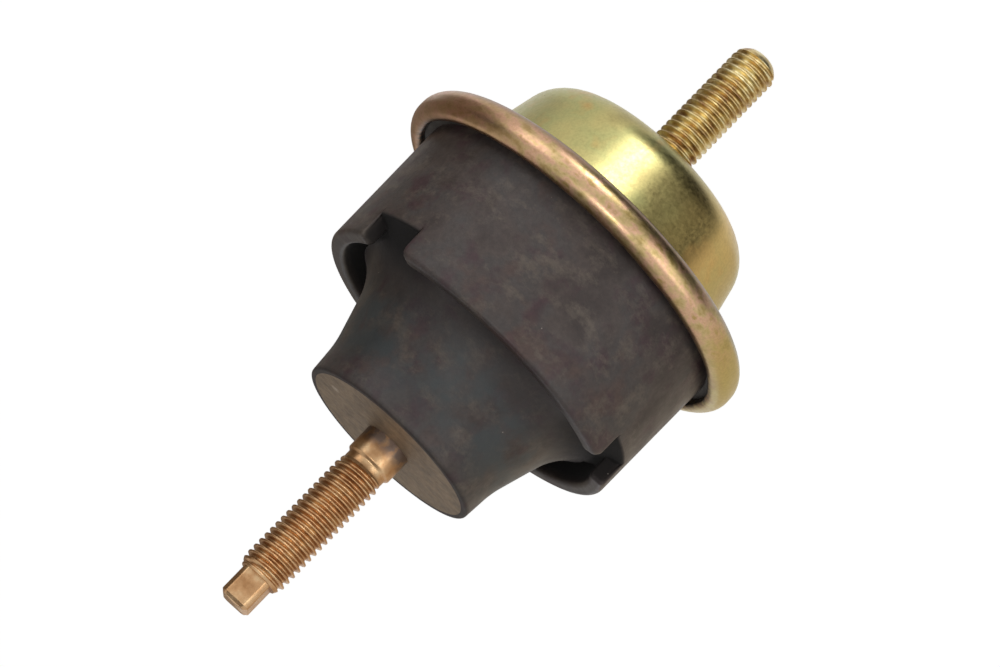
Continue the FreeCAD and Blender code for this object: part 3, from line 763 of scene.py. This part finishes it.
def clouds(tree, place, size, *stops, detail=4, rough=0.55, squeeze=(1, 1, 1)):
    """Noise with features of about a size in millimetres, graded by stops if there are any."""
    place = add(tree, "ShaderNodeMapping", {"Vector": place, "Scale": squeeze})
    noise = add(tree, "ShaderNodeTexNoise", {
        "Vector": place, "Scale": 1 / (size * MM), "Detail": detail, "Roughness": rough},
        out="Fac")
    return add(tree, "ShaderNodeValToRGB", {"Fac": noise}, stops=stops) if stops else noise


def spots(tree, place, spacing, radius):
    """A factor of 1 in rare small spots, at about a spacing and with a radius in millimetres."""
    away = add(tree, "ShaderNodeTexVoronoi", {"Vector": place, "Scale": 1 / (spacing * MM)},
               out="Distance")
    return add(tree, "ShaderNodeMapRange", {
        "Value": away, "From Min": radius / spacing, "From Max": radius / spacing * SPOT_CORE})


def zone(tree, *limits):
    """A factor of 1 where every limit holds, and 0 outside.

    A limit is a measure in metres with two values in millimetres, where it starts to hold and
    where it holds fully, or it is a factor that is ready.
    """
    whole = None
    for limit in limits:
        if isinstance(limit, tuple):
            measure, low, high = limit
            limit = add(tree, "ShaderNodeMapRange", {
                "Value": measure, "From Min": low * MM, "From Max": high * MM})
        whole = limit if whole is None else add(
            tree, "ShaderNodeMath", {0: whole, 1: limit}, operation="MULTIPLY")
    return whole


def paint(tree, under, *coats):
    """Coats over a colour: each has a factor, a colour and, if it isn't "MIX", a way to mix."""
    for factor, colour, *mode in coats:
        colour = linear(colour) if isinstance(colour, str) else colour
        under = add(tree, "ShaderNodeMix", {0: factor, 6: under, 7: colour}, 2,
                    data_type="RGBA", blend_type=mode[0] if mode else "MIX")
    return under


def lay(tree, surface, colour, rough, grain=None, depth=0.0):
    """Lays colour, roughness and a grain of a depth in millimetres on a surface."""
    tree.links.new(colour, surface.inputs["Base Color"])
    tree.links.new(rough, surface.inputs["Roughness"])
    if grain is not None:
        bump = add(tree, "ShaderNodeBump", {
            "Height": grain, "Distance": depth * MM, "Strength": 1.0})
        tree.links.new(bump, surface.inputs["Normal"])


print("one yellow in linear light:", [round(part, 3) for part in linear("#b3a870")])

# %% [markdown]
# ### Yellow zinc plating on the cup
#
# The cup is steel with a few microns of zinc from a plating bath, dipped in a chromate that
# leaves a thin yellow film. As on a soap bubble, the film's colour follows its thickness, so
# it drifts between straw, green and rose, with a golden patch where the bath ran off. To the
# eye it is a metal with a soft shine and cloudy colours. The shader could work out a real thin
# film, but plain clouds in the film's own colours are easier to steer.

# %% Plate the cup's wall
cup_zinc, tree, surface, place = begin("zinc_yellow_chromate", Metallic=1.0)
level = add(tree, "ShaderNodeSeparateXYZ", {"Vector": place}, out="Z")
aside = add(tree, "ShaderNodeSeparateXYZ", {"Vector": place}, out="X")
straw = clouds(tree, place, 14, (0.35, "#a19362"), (0.5, "#b3a870"), (0.6, "#a8a46e"),
               (0.7, "#b69960"), detail=3)
run_off = add(tree, "ShaderNodeValToRGB", {"Fac": zone(tree, (aside, 0, -30))},
              stops=((0.25, 0.0), (0.58, 0.75), (0.85, 0.15)))
wall_zinc = paint(tree, straw, (run_off, "#d3b06c"))

# %% [markdown]
# Rolling works the rim hard, and its rougher metal takes a thicker film, more rose and gold.
# Its clouds are smaller and drawn out along the rim. The two ends of the rim differ, olive on
# one and copper on the other. The crease under the roll gets a painted shade, a dark brown.

# %% Plate the rolled rim
CREASE_SHADE_BROWN = linear("#5d4a40")
ROLL_STARTS = (ROLL_BOTTOM - 0.55, ROLL_BOTTOM + 0.25)
CREASE_ENDS = (ROLL_BOTTOM - 0.15, ROLL_BOTTOM + 2.25)

worked = clouds(tree, place, 4, (0.35, "#9c8756"), (0.46, "#b59e71"), (0.57, "#c49d82"),
                (0.68, "#a38a58"), detail=5, squeeze=(1, 1, 2))
coppery = add(tree, "ShaderNodeValToRGB", {"Fac": zone(tree, (aside, 12, 36))},
              stops=((0.0, 0.0), (1.0, 0.55)))
rim_zinc = paint(tree, worked, (zone(tree, (aside, -26, -38)), "#b3a468"),
                 (coppery, "#ab7f68"))
# Painted shade: the crease under the roll is a dark brown.
rim_zinc = paint(tree, CREASE_SHADE_BROWN, (zone(tree, (level, *CREASE_ENDS)), rim_zinc))
cup_colour = paint(tree, wall_zinc, (zone(tree, (level, *ROLL_STARTS)), rim_zinc))
print(f"the rim's plating starts at {ROLL_STARTS[0]:.1f} mm")

# %% [markdown]
# The lip's top by its cut edge gets a painted shade in brown, and a darker painted shadow where
# the lip meets the rubber. Both stop in a ragged line, so clouds break their zones. Fine matt
# clouds and a few dark specks lie over it all. The real plating's grain is too fine to show, so
# it is drawn half a millimetre wide and very shallow.

# %% Paint shade on the lip and close the cup's finish
flat = add(tree, "ShaderNodeVectorMath", {0: place, 1: (1, 1, 0)}, operation="MULTIPLY")
radius = add(tree, "ShaderNodeVectorMath", {0: flat}, out="Value", operation="LENGTH")
lip_top = (level, lip_underside - 1, lip_underside)
# Painted shade in brown on the lip's top, and painted shadow at its inner edge by the rubber.
lip_shade_brown = zone(tree, (radius, LIP_RADIUS + 3.4, LIP_RADIUS + 0.6), lip_top,
             clouds(tree, place, 3, (0.38, 0.35), (0.6, 0.85)))
lip_edge_shadow = zone(tree, (radius, LIP_RADIUS + 1.3, LIP_RADIUS + 0.1), lip_top,
             clouds(tree, place, 1.3, (0.42, 0.25), (0.56, 1.0), detail=5))
dulled = clouds(tree, place, 0.5, (0.3, 0.86), (0.6, 1.0), detail=3)
# The brown and the near-black coats here are painted shade and painted shadow.
cup_colour = paint(
    tree, cup_colour, (lip_shade_brown, "#8a6342"), (lip_edge_shadow, "#2c1f17"), (1.0, dulled, "MULTIPLY"),
    (spots(tree, place, spacing=9, radius=0.28), "#3a3020"))
lay(tree, surface, cup_colour, clouds(tree, place, 0.8, (0.3, 0.28), (0.7, 0.40)),
    clouds(tree, place, 0.5, detail=2), depth=0.002)
dress(cup, cup_zinc)

# %% [markdown]
# ### Zinc on the studs
#
# Studs are plated in a barrel, where they knock against each other, so their film is mottled
# in smaller clouds than the cup's. The engine stud has the bronze shade of a thick film, and
# the body stud is pale gold. On a thread the mottle breaks the row of highlights, so it looks
# rolled and not polished. Low on the collar, next to the core, a grey shade is painted in.

# %% Plate the studs
COLLAR_SHADE_GREY = "#7c6c63"
COLLAR_SHADE_BAND = (3.4, 1.6)   # above the core's face


def stud_zinc(name, dark, middle, light, shaded_from=None):
    """A mottled zinc in three shades, with a painted grey shade just above a level if one is given.
    """
    material, tree, surface, place = begin(name, Metallic=1.0)
    colour = clouds(tree, place, 3, (0.32, dark), (0.5, middle), (0.68, light), detail=5)
    if shaded_from:
        level = add(tree, "ShaderNodeSeparateXYZ", {"Vector": place}, out="Z")
        end, start = COLLAR_SHADE_BAND
        # Painted shade: a grey band low on the collar, where it stands on the core.
        stain_and_shade = zone(tree, (level, shaded_from + end, shaded_from + start),
                     clouds(tree, place, 2.4, (0.38, 0.3), (0.50, 0.95)))
        colour = paint(tree, colour, (stain_and_shade, COLLAR_SHADE_GREY))
    lay(tree, surface, colour, clouds(tree, place, 0.5, (0.3, 0.28), (0.7, 0.42)),
        clouds(tree, place, 0.35, detail=3), depth=0.006)
    return material


dress(engine_stud, stud_zinc(
    "zinc_bronze_chromate", "#9d7550", "#b48d66", "#c5a67f", shaded_from=CORE_FACE))
dress(body_stud, stud_zinc("zinc_gold_chromate", "#8f6d4c", "#c4ad78", "#ded2a8"))

# %% [markdown]
# ### Phosphated steel on the core
#
# Before rubber is moulded to a core, the steel is phosphated, which gives a matt grey-brown
# crust that the rubber's glue can hold. It is half metal and half mineral, so it is only
# partly metallic, rough, and speckled. Near its edge a small light spot is painted on, a painted
# highlight that stands for a small dimple in the face. The real crystals are a few microns, so
# they are drawn half a millimetre wide, to be seen at all.

# %% Finish the core
DIMPLE_HIGHLIGHT_MIDDLE = Vector((14.6, -2.9, CORE_FACE)) * MM

core_steel, tree, surface, place = begin("steel_phosphated", Metallic=0.7)
crust = clouds(tree, place, 2.5, (0.3, "#665748"), (0.7, "#86745e"), detail=6)
away = add(tree, "ShaderNodeVectorMath", {0: place, 1: DIMPLE_HIGHLIGHT_MIDDLE}, out="Value",
           operation="DISTANCE")
# Painted highlight: a small light spot where a dimple in the face would catch the light.
dimple_highlight = zone(tree, (away, 1.3, 0.5),
              clouds(tree, place, 0.7, (0.40, 0.2), (0.55, 0.9), detail=3))
lay(tree, surface, paint(tree, crust, (dimple_highlight, "#a89c8c")),
    clouds(tree, place, 0.8, (0.3, 0.5), (0.7, 0.65)), clouds(tree, place, 0.5), depth=0.03)
dress(nodes["core_insert"], core_steel)

# %% [markdown]
# ### Moulded rubber
#
# The spring is natural rubber, black with soot and cured in a steel mould, so its skin has the
# mould's satin shine. Its IOR is about 1.5, but soot swallows much of the reflection. With age,
# waxes bloom on it and handling smears them, so the eye sees a warm dark brown, cloudy in
# large soft patches and mottled in small ones.

# %% Mix the bloomed rubber
spring_rubber, tree, surface, place = begin(
    "rubber_bloomed", IOR=1.5, Specular_IOR_Level=0.35)
aged = clouds(tree, place, 13, (0.36, "#342a27"), (0.46, "#453b37"), (0.56, "#403a38"),
              (0.66, "#483833"))
stain_and_shade = clouds(tree, place, 6, (0.52, 0.0), (0.66, 0.85), detail=3)
smear = clouds(tree, place, 7, (0.51, 0.0), (0.66, 0.8), detail=6, rough=0.7,
               squeeze=(1, 1, 1.6))
mottle = clouds(tree, place, 1.1, (0.3, 0.70), (0.7, 1.18), detail=6, rough=0.7)
spring_colour = paint(tree, aged, (stain_and_shade, "#3b272b"), (smear, "#5c5249"),
                      (1.0, mottle, "MULTIPLY"))

# %% [markdown]
# The cone gets cold grey clouds, a painted bluish sheen. The skirt's inner face gets a painted
# shade, because little light reaches it. Both are zones of the same rubber.

# %% Paint sheen on the cone and shade on the skirt's inner face
SHADE_TOP = SKIRT_TOP + 6.0
CONE_TOP = 68.0

level = add(tree, "ShaderNodeSeparateXYZ", {"Vector": place}, out="Z")
flat = add(tree, "ShaderNodeVectorMath", {0: place, 1: (1, 1, 0)}, operation="MULTIPLY")
radius = add(tree, "ShaderNodeVectorMath", {0: flat}, out="Value", operation="LENGTH")
# Painted sheen: cold grey clouds on the cone.
painted_cone_sheen = zone(tree, clouds(tree, place, 8, (0.40, 0.0), (0.58, 0.85)),
             (level, SKIRT_TOP, SHADE_TOP), (level, CORE_FACE, CONE_TOP))
# Painted shade: the skirt's inner face, below the ledge's level.
inside = zone(tree, (radius, SKIRT_TOP_RADIUS - 0.3, SKIRT_TOP_RADIUS - 1.3),
              (level, SHADE_TOP, LEDGE))
spring_colour = paint(tree, spring_colour, (painted_cone_sheen, "#383d3e"), (inside, "#1c1615"))

# %% [markdown]
# Deep and narrow places are nearly black on a real mount: light goes in and doesn't come out.
# A render with a few bounces lets too much light out again, so a mask paints shade on the
# two notches, the cone's foot behind them, the slots and the line round the core.
# The notches are found by their direction from the axis. Their cut has a hard limit, and the
# cone's foot a soft one, because it is shade there and not an edge.

# %% Mask the recesses for painted shade
HALF_NOTCH = math.radians(NOTCH_ANGLE / 2)
CUT_SOFTNESS = (0.008, 0.003)    # radians outside and inside the notch's side
FOOT_SOFTNESS = (0.25, 0.08)

outwards = add(tree, "ShaderNodeVectorMath", {0: flat}, out="Vector", operation="NORMALIZE")
low = zone(tree, (level, SKIRT_TOP + 4, SKIRT_TOP - 1))
cut = zone(tree, low, (level, LEDGE - 0.8, LEDGE - 0.1),
           (radius, WALL_INSIDE - 0.8, WALL_INSIDE - 0.3))
foot = zone(tree, low, (radius, 22.5, 30), (radius, 33.5, WALL_INSIDE))
masks = []
for side in (-1, 1):
    middle = math.radians(FLAP_MIDDLE + side * (FLAP_ANGLE + NOTCH_ANGLE) / 2)
    near = add(tree, "ShaderNodeVectorMath", {
        0: outwards, 1: (math.cos(middle), math.sin(middle), 0)}, out="Value",
        operation="DOT_PRODUCT")
    for mask, (outer, inner) in ((cut, CUT_SOFTNESS), (foot, FOOT_SOFTNESS)):
        notch = add(tree, "ShaderNodeMapRange", {
            "Value": near, "From Min": math.cos(HALF_NOTCH + outer),
            "From Max": math.cos(HALF_NOTCH - inner)})
        masks.append(zone(tree, mask, notch))
masks.append(zone(tree, (radius, WALL_INSIDE + 0.6, WALL_INSIDE + 0.1), (radius, 29, 30.5),
                  (level, SKIRT_TOP - 0.3, SKIRT_TOP - 2.5)))
# Painted shade, half dark, on the line round the core; the masks below add the rest.
painted_recess_shade = add(tree, "ShaderNodeValToRGB", {"Fac": zone(tree, (level, CORE_FACE - 1, CORE_FACE))},
             stops=((0.0, 0.0), (0.8, 0.45)))
for mask in masks:
    painted_recess_shade = add(tree, "ShaderNodeMath", {0: painted_recess_shade, 1: mask}, operation="MAXIMUM")
print("recess masks:", len(masks) + 1)

# %% [markdown]
# The recesses are dull as well as painted dark. The skin elsewhere is satin, with a roughness that
# drifts, and a few pale specks of dust lie on it. The mould's own grain is too fine to show,
# so the relief is drawn 0.6 mm wide and 0.03 mm deep: it only breaks the highlight's edge.

# %% Finish the spring
DULL = (1, 1, 1, 1)

# The near-black coat is painted shade in the recesses.
spring_colour = paint(tree, spring_colour, (painted_recess_shade, "#0d0a09"),
                      (spots(tree, place, spacing=6, radius=0.16), "#8f867e"))
satin = clouds(tree, place, 5, (0.3, 0.40), (0.7, 0.56), detail=5)
lay(tree, surface, spring_colour, paint(tree, satin, (painted_recess_shade, DULL)),
    clouds(tree, place, 0.6), depth=0.03)
dress(spring, spring_rubber)

# %% [markdown]
# The diaphragm and the decoupler's disc are rubber too. They live in fluid, away from air and
# hands, so they have no bloom: a plain black with a matt skin.

# %% Finish the rubber inside


def moulded_rubber(name, dark, light, roughness):
    """Clean moulded rubber between two shades."""
    material, tree, surface, place = begin(name, IOR=1.5, Specular_IOR_Level=0.3)
    lay(tree, surface, clouds(tree, place, 9, (0.3, dark), (0.7, light)),
        clouds(tree, place, 4, (0.3, roughness), (0.7, roughness + 0.12), detail=5),
        clouds(tree, place, 0.6), depth=0.02)
    return material


for name in ("diaphragm", "decoupler_disc"):
    dress(nodes[name], moulded_rubber(f"rubber_{name}", "#1c1b1a", "#272523", 0.55))

# %% [markdown]
# ### The metal inside
#
# The outer ring is steel, primed dark so that the rubber bonds to it. The track's plate is
# bright pressed steel, and its body is cast aluminium, paler and more matt. All are hidden when
# the mount is closed, so faint clouds in colour and roughness are enough to tell them apart.

# %% Finish the metal inside


def plain_metal(name, dark, light, roughness):
    """Bare or primed metal between two shades."""
    material, tree, surface, place = begin(name, Metallic=1.0)
    lay(tree, surface, clouds(tree, place, 3, (0.3, dark), (0.7, light)),
        clouds(tree, place, 0.8, (0.3, roughness), (0.7, roughness + 0.1)))
    return material


dress(nodes["outer_ring"], plain_metal("steel_primed", "#3b3836", "#4a4643", 0.6))
dress(nodes["track_plate"], plain_metal("steel_pressed", "#8e8c88", "#a3a19c", 0.35))
dress(nodes["track_body"], plain_metal("aluminium_cast", "#a6a7a9", "#b9babb", 0.5))

# %% [markdown]
# ## Camera, floor and light
#
# A long lens from 78 cm away keeps both ends of the mount in proportion. The camera looks a
# little down on the standing mount, and it is rolled, so that the studs run from corner to
# corner. A constraint could aim it, but two angles say plainly what it does.

# %% Set the camera
CAMERA_ELEVATION = math.radians(14.6035)
CAMERA_ROLL = math.radians(135.821)
CAMERA_DISTANCE = 783.0
CAMERA_AIM = np.array((-0.593, 0.0, 45.054))
LENS_LENGTH = 145.58
SENSOR_WIDTH = 36.0
FAR_CLIP = 20.0

across = np.array((1.0, 0.0, 0.0))
upward = np.array((0.0, math.sin(CAMERA_ELEVATION), math.cos(CAMERA_ELEVATION)))
back = np.array((0.0, -math.cos(CAMERA_ELEVATION), math.sin(CAMERA_ELEVATION)))
right = math.cos(CAMERA_ROLL) * across - math.sin(CAMERA_ROLL) * upward
up = math.sin(CAMERA_ROLL) * across + math.cos(CAMERA_ROLL) * upward
lens = bpy.data.cameras.new("camera")
lens.lens = LENS_LENGTH
lens.sensor_width = SENSOR_WIDTH
lens.clip_end = FAR_CLIP
camera = bpy.data.objects.new("camera", lens)
bpy.context.scene.collection.objects.link(camera)
stand = (CAMERA_AIM + back * CAMERA_DISTANCE) * MM
camera.matrix_world = Matrix((
    (right[0], up[0], back[0], stand[0]),
    (right[1], up[1], back[1], stand[1]),
    (right[2], up[2], back[2], stand[2]),
    (0, 0, 0, 1),
))
bpy.context.scene.camera = camera
print(f"camera {CAMERA_DISTANCE:.0f} mm away, lens {LENS_LENGTH:.0f} mm")

# %% [markdown]
# The floor is a sheet of white paper. A lamp strong enough to make it white would burn out
# the metal, so part of its white is a glow that only the camera sees: lit paper comes out white,
# and the shadow on it stays. The world does the same, and reflections see it white as well.
# The paper is out of the way of lamps and reflections, like the glass table of a studio, so
# that light can reach the cup from below.

# %% Lay the floor and set the world
FLOOR_LEVEL = -100.0
FLOOR_HALF = 2500.0
FLOOR_GLOW = 0.73
WORLD_LIGHT = 0.3

floor_mesh = bpy.data.meshes.new("floor")
floor_mesh.from_pydata([(x * FLOOR_HALF * MM, y * FLOOR_HALF * MM, FLOOR_LEVEL * MM)
                        for x, y in ((-1, -1), (1, -1), (1, 1), (-1, 1))], [], [(0, 1, 2, 3)])
floor = bpy.data.objects.new("floor", floor_mesh)
bpy.context.scene.collection.objects.link(floor)
floor.visible_shadow = False
floor.visible_diffuse = False
floor.visible_glossy = False
paper, tree, surface, _ = begin(
    "paper_white", Roughness=0.9, Specular_IOR_Level=0.0, Base_Color=linear("#f4f4f4"),
    Emission_Color=linear("#ffffff"))
camera_ray = add(tree, "ShaderNodeLightPath", out="Is Camera Ray")
glow = add(tree, "ShaderNodeMath", {0: camera_ray, 1: FLOOR_GLOW}, operation="MULTIPLY")
tree.links.new(glow, surface.inputs["Emission Strength"])
dress(floor, paper)

world = bpy.data.worlds.new("studio")
bpy.context.scene.world = world
world.use_nodes = True
tree = world.node_tree
background = tree.nodes["Background"]
background.inputs["Color"].default_value = (1, 1, 1, 1)
white_rays = add(tree, "ShaderNodeLightPath", out="Is Camera Ray")
for ray in ("Is Glossy Ray", "Is Transmission Ray"):
    white_rays = add(tree, "ShaderNodeMath", {
        0: white_rays, 1: add(tree, "ShaderNodeLightPath", out=ray)}, operation="MAXIMUM")
strength = add(tree, "ShaderNodeMapRange", {
    "Value": white_rays, "To Min": WORLD_LIGHT, "To Max": 1.0})
tree.links.new(strength, background.inputs["Strength"])
print(f"world at {WORLD_LIGHT} for soft light and at 1 where it is seen")

# %% [markdown]
# Metal shows what stands round it, so it needs both bright and dark things to reflect. Round
# soft lamps make the highlights. Cards, which only reflections see, do the rest: dark ones make
# the band that shows the cup's curve, and grey and cream ones keep white out of the rubber.
# Each is given by its direction, as an angle round the axis and one above the mount's middle,
# and by its spread, the angle from its own middle to its edge. So one angle moves a highlight.

# %% Helpers for lamps and cards
STUDIO_RADIUS = 900.0
CARD_DISTANCE = 1.2 * STUDIO_RADIUS   # behind the lamps, so that no card covers one
CARD_SIDES = 48
STUDIO_MIDDLE = Vector((0, 0, 40 * MM))


def hang(piece, azimuth, elevation, distance=STUDIO_RADIUS):
    """Hangs a piece in a direction, turned to the mount; azimuth 0 is the camera's side."""
    turned, raised = math.radians(azimuth), math.radians(elevation)
    direction = Vector((math.sin(turned) * math.cos(raised),
                        -math.cos(turned) * math.cos(raised), math.sin(raised)))
    bpy.context.scene.collection.objects.link(piece)
    piece.location = STUDIO_MIDDLE + direction * distance * MM
    piece.rotation_euler = direction.to_track_quat("Z", "Y").to_euler()
    piece.visible_camera = False


def lamp(name, azimuth, elevation, spread, brightness):
    """A round soft lamp; brightness 1 is as bright as white paper."""
    light = bpy.data.lights.new(name, "AREA")
    light.shape = "DISK"
    light.size = 2 * STUDIO_RADIUS * math.tan(math.radians(spread)) * MM
    area = math.pi * (light.size / 2) ** 2
    light.energy = brightness * math.pi * area
    hang(bpy.data.objects.new(name, light), azimuth, elevation)
    print(f"{name}: {light.size / MM:.0f} mm across, {light.energy:.1f} W")


def card(name, azimuth, elevation, spread, shade):
    """A round card behind the lamps, of a plain shade, that only reflections see."""
    radius = CARD_DISTANCE * math.tan(math.radians(spread)) * MM
    angles = np.linspace(0, 2 * math.pi, CARD_SIDES, endpoint=False)
    mesh = bpy.data.meshes.new(name)
    mesh.from_pydata([(radius * math.cos(angle), radius * math.sin(angle), 0)
                      for angle in angles], [], [range(len(angles))])
    held = bpy.data.objects.new(name, mesh)
    hang(held, azimuth, elevation, CARD_DISTANCE)
    held.visible_diffuse = False
    held.visible_shadow = False
    dress(held, begin(
        name, Roughness=1.0, Specular_IOR_Level=0.0, Base_Color=linear("#000000"),
        Emission_Color=linear(shade), Emission_Strength=1.0)[0])


# %% [markdown]
# The key lamp stands low in front and makes the bright patch on the cup. The front lamp lights
# the rubber from above, and two weaker ones fill the sides. The card below makes the cup's dark
# band, and two greyer ones let it fade out. The other dark and grey cards keep the rubber deep,
# and the cream one warms the rim's far end.

# %% Hang the lamps and the cards
lamp("key_softbox", 20, -46, 11.5, 8.5)
lamp("front_softbox", 2, 30, 8, 7.0)
lamp("side_softbox", -38, -8, 18, 2.0)
lamp("corner_softbox", 55, -15, 12, 2.2)
card("card_below", -38, -68, 34, "#16130a")
card("card_low", -68, -42, 16, "#484848")
card("card_grey", -40, -35, 28, "#8a887c")
card("card_beside", 112, 8, 38, "#7d7263")
card("card_above", 0, 80, 25, "#808080")
card("card_behind", 162, 8, 26, "#91877a")
card("card_dark", 84, 8, 14, "#2a2725")
card("card_cream", -125, -5, 36, "#eadcc6")

bpy.context.scene.view_settings.view_transform = "Standard"
